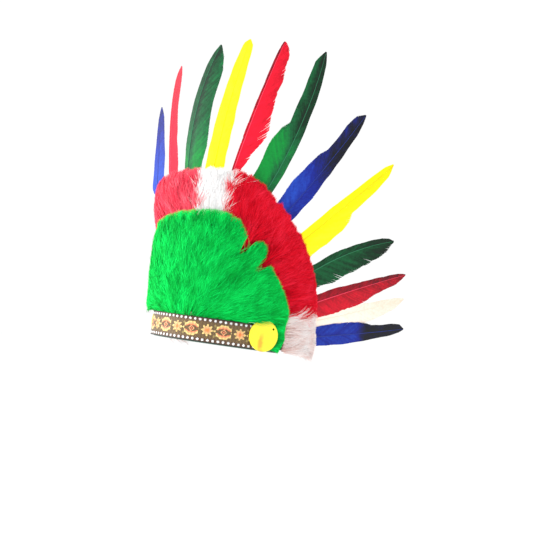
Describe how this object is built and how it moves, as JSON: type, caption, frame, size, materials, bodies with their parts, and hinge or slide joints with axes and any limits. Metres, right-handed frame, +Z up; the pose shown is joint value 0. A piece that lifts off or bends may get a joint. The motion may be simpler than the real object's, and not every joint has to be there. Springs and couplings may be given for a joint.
{
  "type": "feathered headdress",
  "caption": "Worn headdress: a felt and ribbon band carrying a fan of dyed quill feathers over rows of fluffy plumage, closed behind by an elastic.",
  "frame": {"origin": "middle of the head opening, level with the lower edge of the band", "axes": "+Z up along the band's own axis, the wearer looks along -Y, the wearer's left hand is at +X"},
  "size_m": [0.261, 0.3028, 0.3228],
  "materials": {
    "felt_green": "pressed felt",
    "elastic_black": "ribbed woven elastic",
    "ribbon": "patterned woven ribbon",
    "paillette": "glossy",
    "fluff_green": "dyed downy plumage",
    "fluff_red": "dyed downy plumage",
    "fluff_white": "downy plumage",
    "feather_blue": "dyed feather vane",
    "feather_red": "dyed feather vane",
    "feather_green": "dyed feather vane",
    "feather_yellow": "dyed feather vane",
    "feather_white": "feather vane"
  },
  "bodies": {
    "root": {"felt_band": "felt_green", "rear_elastic": "elastic_black", "front_ribbon": "ribbon", "paillette_right": "paillette", "paillette_left": "paillette", "green_fluff": "fluff_green", "red_fluff_right": "fluff_red", "red_fluff_left": "fluff_red", "white_fluff_center": "fluff_white", "white_fluff_ear_right": "fluff_white", "white_fluff_ear_left": "fluff_white", "feather_01_blue": "feather_blue", "feather_02_white": "feather_white", "feather_03_red": "feather_red", "feather_04_green": "feather_green", "feather_05_yellow": "feather_yellow", "feather_06_blue": "feather_blue", "feather_07_red": "feather_red", "feather_08_green": "feather_green", "feather_09_yellow": "feather_yellow", "feather_10_red": "feather_red", "feather_11_green": "feather_green", "feather_12_blue": "feather_blue", "feather_13_yellow": "feather_yellow", "feather_14_green": "feather_green", "feather_15_red": "feather_red", "feather_16_white": "feather_white", "feather_17_blue": "feather_blue"}
  },
  "joints": []
}
